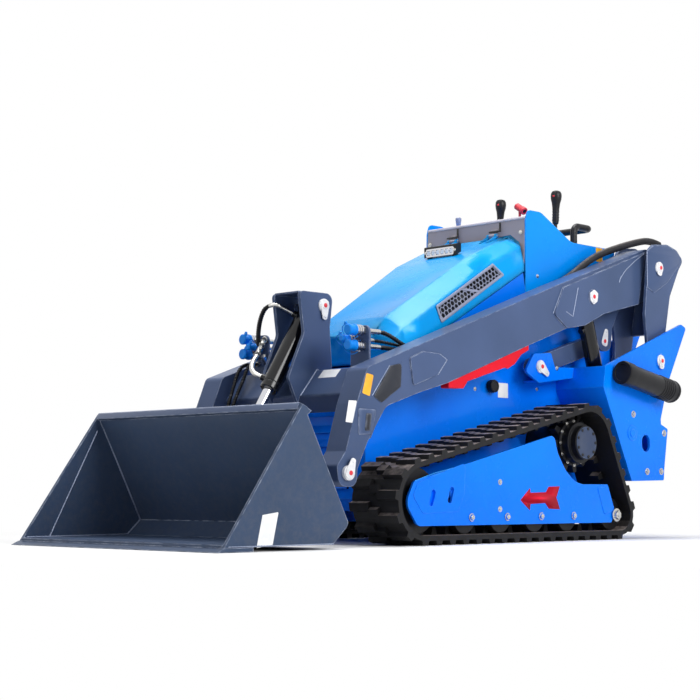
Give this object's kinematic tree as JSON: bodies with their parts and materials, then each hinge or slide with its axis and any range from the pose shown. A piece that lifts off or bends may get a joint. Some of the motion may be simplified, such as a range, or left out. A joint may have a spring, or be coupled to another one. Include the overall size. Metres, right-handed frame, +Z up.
{
  "type": "mini skid steer loader",
  "caption": "Compact stand-on tracked loader with vertical-lift arms, tilting bucket, hinged hood and folding operator step.",
  "frame": {"origin": "middle of the bottom of the whole machine's box, on the ground", "axes": "+X to the machine's left, +Y to its rear, +Z up"},
  "size_m": [1.1914, 2.7036, 1.476],
  "materials": {
    "blue_paint": "gloss enamel",
    "dark_paint": "satin enamel",
    "red_paint": "gloss enamel",
    "grey_plate": "satin",
    "gloss_black": "gloss",
    "black_steel": "satin",
    "chrome_rod": "hard chrome",
    "zinc_steel": "bright zinc",
    "cast_iron": "rough",
    "rubber": "moulded",
    "black_plastic": "moulded"
  },
  "bodies": {
    "chassis": {"console": "blue_paint", "console_front": "grey_plate", "document_tube": "black_plastic", "engine_block": "cast_iron", "filler_cap": "black_plastic", "floor_pan": "blue_paint", "front_panel": "blue_paint", "grab_bar": "black_plastic", "levers": "black_plastic", "platform_hinge": "blue_paint", "side_panel_left": "blue_paint", "side_panel_right": "blue_paint", "sprocket_left": "black_steel", "sprocket_right": "black_steel", "tower_left": "blue_paint", "tower_right": "blue_paint", "track_frame_left": "blue_paint", "track_frame_right": "blue_paint", "track_left": "rubber", "track_right": "rubber", "track_rollers": "black_steel"},
    "rear_links": {"rear_link_left": "dark_paint", "rear_link_right": "dark_paint"},
    "lift_arm": {"arm_left": "dark_paint", "arm_locks": "red_paint", "arm_right": "dark_paint", "aux_couplers_left": "zinc_steel", "aux_couplers_right": "zinc_steel", "coupler_block_left": "dark_paint", "coupler_block_right": "dark_paint", "coupler_hoses": "rubber", "cross_tube": "dark_paint", "front_lines": "rubber", "hose_sleeve": "rubber", "tilt_bracket": "dark_paint"},
    "control_links": {"control_link_left": "dark_paint", "control_link_right": "dark_paint"},
    "lift_barrels": {"lift_barrel_left": "gloss_black", "lift_barrel_right": "gloss_black"},
    "lift_rods": {"lift_rod_left": "chrome_rod", "lift_rod_right": "chrome_rod"},
    "tilt_barrel": {"tilt_barrel": "gloss_black", "tilt_hoses": "rubber"},
    "tilt_rod": {"tilt_rod": "chrome_rod"},
    "attachment": {"bucket": "dark_paint", "coupler": "dark_paint"},
    "hood": {"hood": "blue_paint", "hood_grilles": "grey_plate", "work_light": "black_plastic"},
    "platform": {"platform": "dark_paint"}
  },
  "joints": [
    {"name": "rear_link_swing", "type": "hinge", "parent": "chassis", "child": "rear_links", "pos_m": [-0.02325, 1.1262, 0.739], "axis": [-1, 0, 0], "range_deg": [-6.25, 0]},
    {"name": "arm_lift", "type": "hinge", "parent": "rear_links", "child": "lift_arm", "pos_m": [-0.02325, 1.1732, 1.142], "axis": [-1, 0, 0], "range_deg": [0, 54.24]},
    {"name": "control_link_swing", "type": "hinge", "parent": "chassis", "child": "control_links", "pos_m": [-0.02325, 0.5232, 0.692], "axis": [-1, 0, 0], "range_deg": [-43.59, 0]},
    {"name": "lift_barrel_swing", "type": "hinge", "parent": "chassis", "child": "lift_barrels", "pos_m": [-0.02325, 0.9182, 0.43], "axis": [-1, 0, 0], "range_deg": [0, 5.26]},
    {"name": "lift_rod_slide", "type": "slide", "parent": "lift_barrels", "child": "lift_rods", "axis": [0, -0.2877, 0.9577], "range_m": [0, 0.36242]},
    {"name": "bucket_tilt", "type": "hinge", "parent": "lift_arm", "child": "attachment", "pos_m": [-0.02325, -0.6558, 0.255], "axis": [1, 0, 0], "range_deg": [-22, 70]},
    {"name": "tilt_barrel_swing", "type": "hinge", "parent": "lift_arm", "child": "tilt_barrel", "pos_m": [-0.02325, -0.4198, 0.887], "axis": [1, 0, 0], "range_deg": [-6.35, 2.03]},
    {"name": "tilt_rod_slide", "type": "slide", "parent": "tilt_barrel", "child": "tilt_rod", "axis": [0, -0.5392, -0.8422], "range_m": [-0.07077, 0.22408]},
    {"name": "hood_lid", "type": "hinge", "parent": "chassis", "child": "hood", "pos_m": [-0.02325, 0.5252, 1.25], "axis": [-1, 0, 0], "range_deg": [0, 55]},
    {"name": "platform_fold", "type": "hinge", "parent": "chassis", "child": "platform", "pos_m": [-0.02325, 1.1112, 0.236], "axis": [-1, 0, 0], "range_deg": [0, 88]}
  ],
  "couplings": [
    {"joint": "rear_link_swing", "follows": "arm_lift", "ratio": -0.11504},
    {"joint": "control_link_swing", "follows": "arm_lift", "ratio": -0.80341},
    {"joint": "lift_barrel_swing", "follows": "arm_lift", "ratio": 0.096856},
    {"joint": "lift_rod_slide", "follows": "arm_lift", "m_per_rad": 0.38262},
    {"joint": "tilt_barrel_swing", "follows": "bucket_tilt", "ratio": -0.09},
    {"joint": "tilt_rod_slide", "follows": "bucket_tilt", "m_per_rad": 0.183}
  ]
}
